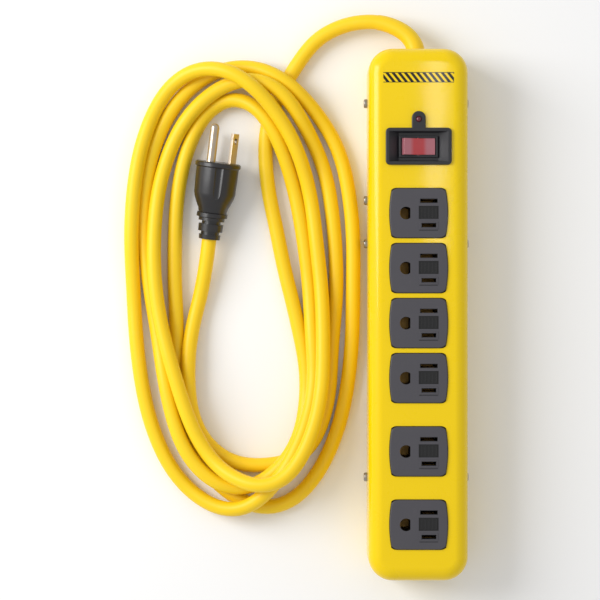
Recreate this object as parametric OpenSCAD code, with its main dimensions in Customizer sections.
// Six-outlet power strip in a drawn steel shell, with its mains cord in an oval coil and its plug.
// Units are millimetres. +Z is up, out of the outlets. +Y runs along the strip to the cord's end.
// The origin is under the middle of the strip, on the surface that it lies on.

/* [Shell] */
// Length of the steel shell
shell_l = 278; // [276:1:284]
// Width of the steel shell
shell_w = 52; // [51:0.5:56]
// Height of the steel shell
shell_h = 38; // [38:0.5:42]
// Thickness of the sheet steel
sheet_t = 1.2; // [0.8:0.1:1.4]
// Radius of the shell's upright corners
corner_r = 12.7; // [11:0.1:14]
// Radius of the edge round the top
top_r = 7.5; // [5:0.5:9]

/* [Outlets] */
// Width of an outlet's face, across the strip
outlet_w = 30.4; // [29:0.1:31]
// Length of an outlet's face, along the strip
outlet_l = 26; // [25:0.1:26.4]
// Height of an outlet's face above the shell
outlet_proud = 1; // [0.4:0.1:2]
// Place of the outlet nearest the switch
first_outlet_y = 52.8; // [52:0.1:54]
// Step between the four close outlets
close_step = 28.6; // [28.4:0.1:29]
// Step between the outlets for bulky plugs
wide_step = 38.1; // [37:0.1:38.4]
// Distance between a plug's two blades
blade_gap = 12.7; // [12.5:0.1:12.9]
// Distance from the blades' line to the ground pin
ground_gap = 11.9; // [11.8:0.1:12]

/* [Switch] */
// Place of the switch along the strip
switch_y = 87.5; // [87:0.1:88]
// Width of the switch guard, across the strip
guard_w = 34.3; // [33.5:0.1:35]
// Length of the switch guard, along the strip
guard_l = 19.3; // [19:0.1:20]
// Height of the switch guard above the shell
guard_proud = 1.6; // [1.4:0.1:2]
// Tilt of the rocker to each side of level
rocker_tilt = 11; // [8:0.5:12]

/* [Fasteners] */
// Diameter of a case screw's head
screw_head_d = 4.8; // [4.4:0.1:5.4]
// Height of the case screws above the surface
screw_z = 9; // [8:0.5:11]
// Diameter of the wide end of a keyhole
keyhole_d = 8.5; // [7.5:0.1:9]
// Width of the narrow end of a keyhole
keyhole_slot = 4.5; // [4.2:0.1:5]
// Distance between the two keyholes
keyhole_step = 203.2; // [200:0.1:206]

/* [Cord] */
// Diameter of the mains cord
cord_d = 7.8; // [7.4:0.1:8]
// Height of the cord where it leaves the shell
exit_z = 14; // [13:0.5:15]
// Height of the coil of cord
coil_h = 17; // [15:0.5:20]

/* [Plug] */
// Turn of the plug from the strip's long direction
plug_turn = 7; // [5:0.5:9]
// Rise of the plug's pins above level
plug_rise = 5; // [4:0.5:6]
// Roll of the plug about its own length
plug_roll = 25; // [20:1:30]
// Length of the blades in front of the plug's face
blade_l = 16; // [15.9:0.1:18.2]
// Length of the ground pin in front of the plug's face
ground_pin_l = 20.4; // [19.1:0.1:21.4]

/* [Hidden] */
$fn = 48;
gap = 0.15;
eps = 1;

// Heights inside the strip
top_in = shell_h - sheet_t;
face_z = shell_h + outlet_proud;
side_in = shell_w / 2 - sheet_t;
end_in = shell_l / 2 - sheet_t;
bus_z = 14.8;
bus_t = 0.8;
outlet_base = bus_z + bus_t;
liner_z = sheet_t + 0.1;
liner_t = 0.5;
board_z = 24;
board_t = 1.6;

// Outlets, from the switch towards the far end
outlet_steps = [0, 1, 2, 3];
outlet_ys = concat(
    [for (k = outlet_steps) first_outlet_y - k * close_step],
    [for (k = [1, 2]) first_outlet_y - 3 * close_step - k * wide_step]
);
outlet_corner = 3.8;
outlet_bulge = 1.3;
blade_x = 5.35;
ground_x = blade_x - ground_gap;
slot_l = [8.8, 7.3];
slot_w = 2.4;
ground_r = 3.45;
ground_flat = 1.6;
face_t = 4.2;
flange_w = 33.4;
flange_t = 1.6;
outlet_body = [25, 24.4];
patch_from = [0, -3.1];
patch_to = [10.3, 3.7];
patch_depth = 1;
leaf = [6.2, 0.5, 31.5];
ground_leaf = [0.5, 5, 28.5];
bus_from = outlet_ys[5] - 9;
bus_to = first_outlet_y + 13.2;

// Switch
pivot_z = shell_h - 3.4;
rocker_r = 8.7;
rocker_w = 8.5;
rocker_mid = 1.6;
chamber = [18, 9.1];
switch_box = [19, 10.3];
switch_flange = [20.4, 11.2];
well = [31, 16];
well_z = pivot_z + 0.2;
led_y = switch_y + 14.1;
led_r = 1.5;
tab_w = 7.2;
tab_end = switch_y + 14.7;
terminal_xs = [-6, 0, 6];
terminal_z = 12;

// Fasteners
case_screw_ys = [112, 37.5, -86.5];
bond_y = 60.5;
screw_r = 1.45;
bond_r = 1.7;
lug_x = -side_in + 1.9;

// Surge board
board_mid = 110.5;
board_size = [38, 27];
post_at = [16, 11];

// Inner leads, from the cord's end to the switch, the buses and the shell
lead_r = 1.2;
line_route = [
    [-1.8, 112.2, 15], [-3, 107, 13], [-7, 98, 9.5], [-7.5, 91, 7.6], [-6, 87.6, 8.8], [-6, 87.5, 11.8]
];
switched_route = [
    [0, 87.5, 11.8], [0, 86.8, 9], [3, 82, 8], [8.5, 77, 9.5], [10.4, 72.5, 13], [10.6, 69.5, 15],
    [10.6, 66.5, 15.2]
];
neutral_route = [
    [1.8, 112.2, 15], [5, 106, 11.5], [11, 97, 8], [13, 87, 6.5], [11, 78, 4.5], [4, 74, 5],
    [0.6, 73, 10], [0.2, 70, 14.6], [0.2, 66.5, 15.2]
];
ground_route = [
    [0, 112.2, 11.8], [-4, 106, 8.5], [-11, 98, 5.5], [-15.5, 89, 5.5], [-20, 80, 7.5],
    [-22.9, 74, 9], [-22.9, 70.3, 9]
];

// Cord route, from the strip to the coil, then from the coil to the plug
lead_in_route = [
    [0, 140, 14], [-4, 147, 13.2], [-11, 152, 12], [-20, 155, 10.4], [-30, 155.2, 8.6],
    [-40, 153, 6.9], [-50, 148, 5.5], [-58, 140.5, 4.5], [-65, 130.5, 4.1], [-68, 125.5, 4]
];
coil_outside = [
    [-99, 136], [-84, 136], [-71, 131.5], [-57, 122], [-46, 106], [-37.5, 87], [-32, 69],
    [-30.5, 34], [-30.5, -10], [-32, -35], [-37.5, -63.5], [-46.5, -84.5], [-63, -101.5],
    [-77, -107.5], [-99, -107.5], [-111, -104], [-123, -95], [-135.5, -79], [-145, -57],
    [-150, -35], [-154, 8], [-155.5, 29], [-155.5, 45], [-154.5, 66], [-152, 88],
    [-148.5, 101], [-141, 117], [-129, 129], [-114, 135]
];
coil_inside = [
    [-93, 112], [-88, 108], [-84, 99], [-84, 82], [-81, 61], [-76, 34], [-69.5, 6], [-66, -8],
    [-63.5, -22], [-61.5, -47], [-64, -59], [-68, -70], [-76, -75], [-86, -77.5], [-99, -75],
    [-107, -68], [-112, -60], [-119, -54], [-127, -46], [-127, -34], [-129, -10],
    [-127, 20], [-125.5, 45], [-124, 63], [-120, 86], [-114, 103], [-104, 110]
];
tail_route = [
    [-110, 40, 8.8], [-111, 32, 8.1], [-112.5, 22, 6.6], [-115, 9, 5], [-118.5, -4, 4.2],
    [-120.5, -14, 4], [-121.3, -26, 4], [-121.3, -38, 4], [-120.5, -48, 4], [-118.5, -57, 4]
];

// Plug
plug_face = [-105, 80.6, 12.4];
plug_l = 41;
plug_mid = 3.4;
plug_root = 8;
blade = [1.5, 6.35];
ground_pin_r = 2.375;
ground_root_r = 2;
ground_relief = 0.3;
blade_hole_r = 1.6;
bridge_from = 5;
bridge_to = 11;
bridge_r = 10;
// Distance behind the face and radius of each corner of the moulded body
plug_profile = [
    [0, 11.7], [0.5, 12.2], [2.2, 12.2], [2.8, 11.3], [9, 11.2], [14, 11], [17, 10.4], [20, 9.5],
    [22.5, 8.5], [24, 7.9], [28.6, 7.7], [29.4, 7], [29.4, 5.3], [31.4, 5.3], [31.4, 6.6],
    [34.8, 6.3], [35.4, 5.8], [35.4, 4.7], [37.4, 4.7], [37.4, 5.6], [41, 5.1]
];

// ---- Shapes that several pieces share ----

module rounded_rect(w, l, r) {
    square([w - 2 * r, l], center = true);
    square([w, l - 2 * r], center = true);
    for (x = [-1, 1], y = [-1, 1])
        translate([x * (w / 2 - r), y * (l / 2 - r)])
            circle(r);
}

// Half of the section of a block whose upper edge has the radius edge_r
module edge_profile(w, h, edge_r) {
    square([w, h - edge_r]);
    square([w - edge_r, h]);
    translate([w - edge_r, h - edge_r])
        intersection() {
            circle(edge_r);
            square(edge_r);
        }
}

module full_profile(w, h, edge_r) {
    edge_profile(w / 2, h, edge_r);
    mirror([1, 0])
        edge_profile(w / 2, h, edge_r);
}

// A block with round upright corners and a round edge at the top
module pillow(l, w, h, r, edge_r) {
    rotate([90, 0, 0])
        linear_extrude(l - 2 * r, center = true)
            full_profile(w, h, edge_r);
    rotate([90, 0, 90])
        linear_extrude(w - 2 * r, center = true)
            full_profile(l, h, edge_r);
    for (x = [-1, 1], y = [-1, 1])
        translate([x * (w / 2 - r), y * (l / 2 - r), 0])
            rotate_extrude()
                edge_profile(r, h, edge_r);
}

module box(from, to) {
    translate(from)
        cube(to - from);
}

// A cylinder that runs along X from one place to another
module rod_x(from, to, y, z, r) {
    translate([from, y, z])
        rotate([0, 90, 0])
            cylinder(h = to - from, r = r);
}

function unit(v) = v / norm(v);

function curve_point(p, i, t) =
    let (
        a = p[max(i - 1, 0)],
        b = p[i],
        c = p[i + 1],
        d = p[min(i + 2, len(p) - 1)]
    )
    0.5 * (2 * b + (c - a) * t + (2 * a - 5 * b + 4 * c - d) * t * t + (3 * b - a - 3 * c + d) * t * t * t);

// A smooth line through the points of a route, with n steps between two points
function curve(p, n) = concat(
    [for (i = [0 : len(p) - 2], k = [0 : n - 1]) curve_point(p, i, k / n)],
    [p[len(p) - 1]]
);

function heading(p, i) = unit(p[min(i + 1, len(p) - 1)] - p[max(i - 1, 0)]);

function ring(p, i, r, sides) =
    let (
        ahead = heading(p, i),
        aside = unit(cross([0, 0.01, 1], ahead)),
        over = cross(ahead, aside)
    )
    [for (k = [0 : sides - 1]) p[i] + r * (cos(k * 360 / sides) * aside + sin(k * 360 / sides) * over)];

module tube(p, r, sides) {
    last = (len(p) - 1) * sides;
    polyhedron(
        points = [for (i = [0 : len(p) - 1]) each ring(p, i, r, sides)],
        faces = concat(
            [[for (k = [0 : sides - 1]) k]],
            [for (i = [0 : len(p) - 2], k = [0 : sides - 1])
                let (next = (k + 1) % sides)
                [i * sides + k, (i + 1) * sides + k, (i + 1) * sides + next, i * sides + next]],
            [[for (k = [sides - 1 : -1 : 0]) last + k]]
        )
    );
}

// ---- Housing ----

module outlet_outline(grow) {
    half = outlet_w / 2 + grow;
    side_r = (pow(outlet_l / 2, 2) + pow(outlet_bulge, 2)) / (2 * outlet_bulge);
    intersection() {
        rounded_rect(outlet_w + 2 * grow, outlet_l + 2 * grow, outlet_corner);
        translate([side_r - half, 0])
            circle(side_r, $fn = 180);
        translate([half - side_r, 0])
            circle(side_r, $fn = 180);
    }
}

module top_shell() {
    color([0.95, 0.78, 0.03])
        difference() {
            pillow(shell_l, shell_w, shell_h, corner_r, top_r);
            translate([0, 0, -eps])
                pillow(
                    shell_l - 2 * sheet_t, shell_w - 2 * sheet_t, top_in + eps,
                    corner_r - sheet_t, top_r - sheet_t
                );
            for (y = outlet_ys)
                translate([0, y, top_in - eps])
                    linear_extrude(sheet_t + 2 * eps)
                        outlet_outline(gap);
            translate([0, switch_y, top_in - eps])
                linear_extrude(sheet_t + 2 * eps)
                    rounded_rect(guard_w - 1.6, guard_l - 1.6, 1.5);
            translate([0, led_y, top_in - eps])
                cylinder(h = sheet_t + 2 * eps, r = led_r + 0.6);
            translate([0, end_in - eps, exit_z])
                rotate([-90, 0, 0])
                    cylinder(h = sheet_t + 2 * eps, r = 5.6);
            for (y = case_screw_ys, side = [-1, 1])
                rod_x(side * shell_w / 2 - 2, side * shell_w / 2 + 2, y, screw_z, screw_r + 0.25);
            rod_x(-shell_w / 2 - 2, -shell_w / 2 + 2, bond_y, screw_z, bond_r + gap);
        }
}

module base_plate() {
    plate_w = 2 * (side_in - gap);
    tab_x = side_in - gap - sheet_t;
    color([0.78, 0.79, 0.8])
        difference() {
            union() {
                linear_extrude(sheet_t)
                    rounded_rect(plate_w, 2 * (end_in - gap), corner_r - sheet_t);
                for (y = case_screw_ys)
                    for (x = [tab_x, -tab_x - sheet_t])
                        box([x, y - 6, 0.5], [x + sheet_t, y + 6, screw_z + 5]);
            }
            for (y = case_screw_ys)
                rod_x(-shell_w / 2, shell_w / 2, y, screw_z, screw_r + 0.05);
            for (y = [-0.5, 0.5])
                translate([0, y * keyhole_step, -eps])
                    linear_extrude(sheet_t + 2 * eps)
                        keyhole();
        }
}

module keyhole() {
    circle(d = keyhole_d);
    translate([0, keyhole_d])
        circle(d = keyhole_slot);
    translate([-keyhole_slot / 2, 0])
        square([keyhole_slot, keyhole_d]);
}

module insulating_liner() {
    half = [20, 134];
    pocket_h = 4.4;
    color([0.82, 0.8, 0.74])
        difference() {
            union() {
                box([-half.x, -half.y, liner_z], [half.x, half.y, liner_z + liner_t]);
                for (x = [-half.x, half.x - liner_t])
                    box([x, -half.y, liner_z], [x + liner_t, half.y, liner_z + 2.4]);
                for (y = [-0.5, 0.5])
                    translate([0, y * keyhole_step, liner_z])
                        box([-7, -7, 0], [7, 14, pocket_h]);
            }
            for (y = [-0.5, 0.5])
                translate([0, y * keyhole_step, liner_z])
                    box([-6.5, -6.5, -eps], [6.5, 13.5, pocket_h - liner_t]);
        }
}

// ---- Outlets and the strips that feed them ----

module receptacle(number) {
    color([0.27, 0.27, 0.31])
        translate([0, outlet_ys[number - 1], 0])
            difference() {
                union() {
                    translate([0, 0, top_in - flange_t - gap])
                        linear_extrude(face_z - top_in + flange_t + gap)
                            outlet_outline(0);
                    translate([0, 0, top_in - flange_t / 2 - gap])
                        cube([flange_w, close_step - 0.4, flange_t], center = true);
                    box(
                        [-outlet_body.x / 2, -outlet_body.y / 2, outlet_base],
                        [outlet_body.x / 2, outlet_body.y / 2, top_in - flange_t]
                    );
                }
                for (side = [0, 1])
                    blade_slot(side);
                ground_socket();
                box(
                    [patch_from.x, patch_from.y, face_z - patch_depth],
                    [patch_to.x, patch_to.y, face_z + eps]
                );
            }
}

// The slot and the contact chamber of one blade: side 0 is neutral, side 1 is line
module blade_slot(side) {
    y = (side == 0 ? 1 : -1) * blade_gap / 2;
    translate([blade_x, y, face_z])
        cube([slot_l[side], slot_w, 2 * face_t + eps], center = true);
    box([1.2, y - 2.3, outlet_base - eps], [10, y + 2.3, face_z - face_t]);
}

module ground_socket() {
    translate([ground_x, 0, outlet_base - eps])
        linear_extrude(face_z - outlet_base + 2 * eps)
            intersection() {
                circle(ground_r);
                translate([ground_flat - 10, -5])
                    square(10);
            }
    box([ground_x - 3.6, -3.5, outlet_base - eps], [ground_x + 3.6, 3.5, face_z - 5.5]);
}

module blade_bus(side, rail_x) {
    y = (side == 0 ? 1 : -1) * blade_gap / 2;
    tongue = [min(rail_x, 2.2), max(rail_x, 8.6)];
    color([0.83, 0.66, 0.3]) {
        box([rail_x - 1, bus_from, bus_z], [rail_x + 1, bus_to, bus_z + bus_t]);
        for (place = outlet_ys)
            translate([0, place + y, 0]) {
                box([tongue[0], -1.6, bus_z], [tongue[1], 1.6, bus_z + bus_t]);
                for (pair = [-1, 1])
                    translate([blade_x, pair * 1.05, (bus_z + leaf.z) / 2])
                        cube([leaf.x, leaf.y, leaf.z - bus_z], center = true);
            }
    }
}

module line_bus() {
    blade_bus(1, 10.6);
}

module neutral_bus() {
    blade_bus(0, 0.2);
}

module ground_bus() {
    color([0.83, 0.66, 0.3])
        difference() {
            union() {
                box([ground_x - 3, bus_from, bus_z], [ground_x + 3, bus_to, bus_z + bus_t]);
                for (place = outlet_ys, pair = [-1, 1])
                    translate([ground_x + pair * 2.65, place, (bus_z + ground_leaf.z) / 2])
                        cube([ground_leaf.x, ground_leaf.y, ground_leaf.z - bus_z], center = true);
                box([lug_x - 0.9, bond_y - 3, bus_z], [ground_x, bond_y + 3, bus_z + bus_t]);
                box([lug_x - 0.9, bond_y - 3, screw_z - 3.5], [lug_x, bond_y + 3, bus_z + bus_t]);
            }
            rod_x(lug_x - 2, lug_x + 1, bond_y, screw_z, bond_r + 0.05);
        }
}

// ---- Switch ----

module switch_guard() {
    color([0.1, 0.1, 0.11])
        difference() {
            union() {
                translate([0, switch_y, shell_h])
                    linear_extrude(guard_proud)
                        rounded_rect(guard_w, guard_l, 2.6);
                translate([0, tab_end, shell_h])
                    cylinder(h = guard_proud, d = tab_w);
                box([-tab_w / 2, switch_y, shell_h], [tab_w / 2, tab_end, shell_h + guard_proud]);
                translate([0, switch_y, well_z - 1.6])
                    linear_extrude(shell_h - well_z + 1.6 + guard_proud)
                        rounded_rect(guard_w - 1.9, guard_l - 1.9, 1.4);
            }
            translate([0, switch_y, well_z])
                linear_extrude(10)
                    rounded_rect(well.x, well.y, 1);
            translate([0, switch_y, well_z])
                cube([switch_box.x + 0.2, switch_box.y + 0.2, 10], center = true);
            translate([0, led_y, shell_h - eps])
                cylinder(h = guard_proud + 2 * eps, r = led_r + 0.1);
        }
}

module switch_body() {
    floor_z = pivot_z - 6;
    color([0.12, 0.12, 0.13])
        translate([0, switch_y, 0])
            difference() {
                union() {
                    box(
                        [-switch_flange.x / 2, -switch_flange.y / 2, well_z],
                        [switch_flange.x / 2, switch_flange.y / 2, well_z + 1.2]
                    );
                    box(
                        [-switch_box.x / 2, -switch_box.y / 2, 20],
                        [switch_box.x / 2, switch_box.y / 2, well_z + 0.5]
                    );
                }
                box([-chamber.x / 2, -chamber.y / 2, floor_z], [chamber.x / 2, chamber.y / 2, 50]);
                translate([0, 0, pivot_z])
                    rotate([90, 0, 0])
                        cylinder(h = switch_box.y + 2, r = 0.95, center = true);
            }
}

// The rocker's side view: a shallow V on top and ends that are arcs about the pivot
module rocker_profile(r, mid, under) {
    rise = 10 * tan(rocker_tilt);
    intersection() {
        circle(r, $fn = 96);
        polygon([[-10, under], [10, under], [10, mid + rise], [0, mid], [-10, mid + rise]]);
    }
}

module in_rocker() {
    translate([0, switch_y, pivot_z])
        rotate([0, rocker_tilt, 0])
            children();
}

module rocker() {
    color([0.8, 0.1, 0.12, 0.8])
        in_rocker()
            difference() {
                union() {
                    difference() {
                        rotate([90, 0, 0])
                            linear_extrude(rocker_w, center = true)
                                rocker_profile(rocker_r, rocker_mid, -2);
                        rotate([90, 0, 0])
                            linear_extrude(rocker_w - 2.4, center = true)
                                rocker_profile(rocker_r - 1.2, rocker_mid - 1.1, -3);
                    }
                    rotate([90, 0, 0])
                        cylinder(h = 10, r = 0.9, center = true);
                    box([-1, -1.2, -4.6], [1, 1.2, rocker_mid - 0.5]);
                    box([-5, -rocker_w / 2 + 0.6, -2], [-4.2, rocker_w / 2 - 0.6, 1]);
                }
                rod_x(-6.5, -2, 0, -0.6, 1.2);
            }
}

module pilot_lamp() {
    color([1, 0.6, 0.35, 0.7])
        in_rocker()
            rod_x(-6.4, -2, 0, -0.6, 1.15);
}

module switch_terminals() {
    color([0.83, 0.66, 0.3])
        for (x = terminal_xs)
            translate([x, switch_y, (terminal_z + 20) / 2])
                cube([0.8, 4.8, 20 - terminal_z], center = true);
}

module surge_lens() {
    top = shell_h + guard_proud;
    color([0.35, 0.03, 0.06, 0.9])
        translate([0, led_y, 0])
            rotate_extrude()
                union() {
                    translate([0, board_z + board_t])
                        square([led_r + 0.4, 1]);
                    translate([0, board_z + board_t])
                        square([led_r, top - 0.6 - board_z - board_t]);
                    translate([0, top - 0.7])
                        intersection() {
                            circle(led_r);
                            square(led_r);
                        }
                }
}

// ---- Fasteners ----

module pan_screw(head_r, shank_r, shank_l) {
    difference() {
        union() {
            rotate_extrude()
                union() {
                    square([head_r, 1]);
                    translate([0, 1])
                        square([head_r - 0.8, 0.8]);
                    translate([head_r - 0.8, 1])
                        intersection() {
                            circle(0.8);
                            square(0.8);
                        }
                }
            translate([0, 0, -shank_l])
                cylinder(h = shank_l + 0.5, r = shank_r);
        }
        translate([0, 0, 1.8])
            cube([2 * head_r + 1, 0.8, 1.4], center = true);
    }
}

module side_screw(side, y, head_r, shank_r, shank_l) {
    translate([side * shell_w / 2, y, screw_z])
        rotate([0, side * 90, 0])
            rotate([0, 0, y])
                pan_screw(head_r, shank_r, shank_l);
}

module case_screws() {
    color([0.8, 0.81, 0.83])
        for (y = case_screw_ys, side = [-1, 1])
            side_screw(side, y, screw_head_d / 2, screw_r, 5.5);
}

module bonding_screw() {
    color([0.8, 0.81, 0.83])
        side_screw(-1, bond_y, screw_head_d / 2, bond_r, 5.8);
}

module bonding_nut() {
    color([0.8, 0.81, 0.83])
        difference() {
            translate([lug_x, bond_y, screw_z])
                rotate([0, 90, 0])
                    cylinder(h = 2.2, r = 3.4, $fn = 6);
            rod_x(lug_x - 1, lug_x + 3, bond_y, screw_z, bond_r + 0.05);
        }
}

module ring_terminal() {
    color([0.83, 0.84, 0.85])
        difference() {
            union() {
                rod_x(-side_in, -side_in + 1, bond_y, screw_z, 3.5);
                box([-side_in, bond_y, screw_z - 1.2], [-side_in + 1, bond_y + 8, screw_z + 1.2]);
                translate([-side_in + 1.9, bond_y + 4.5, screw_z])
                    rotate([-90, 0, 0])
                        cylinder(h = 5, r = 1.9);
            }
            rod_x(-side_in - 1, -side_in + 2, bond_y, screw_z, bond_r + 0.05);
        }
}

// ---- Surge protection ----

module board_posts() {
    color([0.9, 0.9, 0.86])
        for (x = [-1, 1], y = [-1, 1])
            translate([x * post_at.x, board_mid + y * post_at.y, liner_z + liner_t])
                cylinder(h = board_z - liner_z - liner_t, r = 2.2);
}

module surge_board() {
    color([0.12, 0.4, 0.2])
        translate([0, board_mid, board_z + board_t / 2])
            cube([board_size.x, board_size.y, board_t], center = true);
}

module varistors() {
    color([0.15, 0.35, 0.7])
        for (x = [-11, 0, 11])
            translate([x, board_mid + 6, board_z + board_t]) {
                translate([0, 0, 5.4])
                    rotate([90, 0, 0])
                        cylinder(h = 4, r = 4.8, center = true);
                box([-2, -1, 0], [2, 1, 2]);
            }
}

module thermal_fuse() {
    color([0.9, 0.88, 0.8])
        rod_x(4, 13, board_mid - 3, board_z + board_t + 2, 2);
}

// ---- Inner leads ----

module lead(route, tint) {
    color(tint)
        tube(curve(route, 3), lead_r, 8);
}

module line_lead() {
    lead(line_route, [0.1, 0.1, 0.1]);
}

module switched_lead() {
    lead(switched_route, [0.1, 0.1, 0.1]);
}

module neutral_lead() {
    lead(neutral_route, [0.93, 0.93, 0.9]);
}

module ground_lead() {
    lead(ground_route, [0.1, 0.5, 0.2]);
}

// ---- Cord ----

module cord_bushing() {
    color([0.93, 0.72, 0.05])
        translate([0, end_in, exit_z])
            rotate([-90, 0, 0])
                rotate_extrude()
                    polygon([
                        [4, -20], [4, sheet_t + 1], [5.1, sheet_t + 1], [5.5, sheet_t + 0.6], [5.5, 0],
                        [8, 0], [8, -3], [6.8, -4], [5.2, -20]
                    ]);
}

module cord_inner_end() {
    color([0.93, 0.68, 0.05])
        translate([0, 113, exit_z])
            rotate([-90, 0, 0])
                cylinder(h = lead_in_route[0].y - 113, d = cord_d);
}

module cord_lead_in() {
    color([0.93, 0.68, 0.05])
        tube(curve(lead_in_route, 2), cord_d / 2, 10);
}

module cord_coil() {
    color([0.93, 0.68, 0.05])
        linear_extrude(coil_h)
            difference() {
                polygon(coil_outside);
                polygon(coil_inside);
            }
}

module cord_tail() {
    color([0.93, 0.68, 0.05])
        tube(curve(tail_route, 2), cord_d / 2, 10);
}

// ---- Plug: its own +Z runs out along the pins, from the middle of its face ----

module in_plug() {
    translate(plug_face)
        rotate([plug_rise - 90, 0, -plug_turn])
            rotate([0, 0, -plug_roll])
                children();
}

module blade_shapes(root, length) {
    for (side = [-1, 1])
        translate([side * blade_gap / 2 - blade.x / 2, plug_mid - blade.y / 2, -root])
            cube([blade.x, blade.y, root + length]);
}

module plug_bridge_block(grow) {
    translate([0, 0, -bridge_to - grow])
        cylinder(h = bridge_to - bridge_from + 2 * grow, r = bridge_r + grow);
}

module ground_pin_root() {
    translate([0, plug_mid - ground_gap, -plug_root])
        cylinder(h = plug_root + ground_relief, r = ground_root_r);
}

module plug_body() {
    color([0.07, 0.07, 0.08])
        in_plug()
            difference() {
                rotate_extrude()
                    polygon(concat(
                        [[0, 0]],
                        [for (p = plug_profile) [p[1], -p[0]]],
                        [[0, -plug_l]]
                    ));
                blade_shapes(plug_root, 2);
                ground_pin_root();
                plug_bridge_block(0.05);
            }
}

module plug_bridge() {
    color([0.85, 0.83, 0.78])
        in_plug()
            difference() {
                plug_bridge_block(0);
                blade_shapes(plug_root, 2);
                ground_pin_root();
            }
}

module plug_blades() {
    color([0.8, 0.76, 0.66])
        in_plug()
            difference() {
                blade_shapes(plug_root, blade_l);
                translate([0, plug_mid, blade_l - 4])
                    rotate([0, 90, 0])
                        cylinder(h = 2 * blade_gap, r = blade_hole_r, center = true);
            }
}

module plug_ground_pin() {
    color([0.8, 0.76, 0.66])
        in_plug() {
            ground_pin_root();
            translate([0, plug_mid - ground_gap, ground_relief])
                cylinder(h = ground_pin_l - ground_pin_r - ground_relief, r = ground_pin_r);
            translate([0, plug_mid - ground_gap, ground_pin_l - ground_pin_r])
                rotate_extrude()
                    intersection() {
                        circle(ground_pin_r);
                        square(ground_pin_r);
                    }
        }
}

top_shell();
base_plate();
insulating_liner();
receptacle(1);  // receptacle_1
receptacle(2);  // receptacle_2
receptacle(3);  // receptacle_3
receptacle(4);  // receptacle_4
receptacle(5);  // receptacle_5
receptacle(6);  // receptacle_6
switch_guard();
switch_body();
rocker();
pilot_lamp();
switch_terminals();
surge_lens();
case_screws();
bonding_screw();
bonding_nut();
ring_terminal();
line_bus();
neutral_bus();
ground_bus();
surge_board();
board_posts();
varistors();
thermal_fuse();
line_lead();
switched_lead();
neutral_lead();
ground_lead();
cord_bushing();
cord_inner_end();
cord_lead_in();
cord_coil();
cord_tail();
plug_body();
plug_bridge();
plug_blades();
plug_ground_pin();
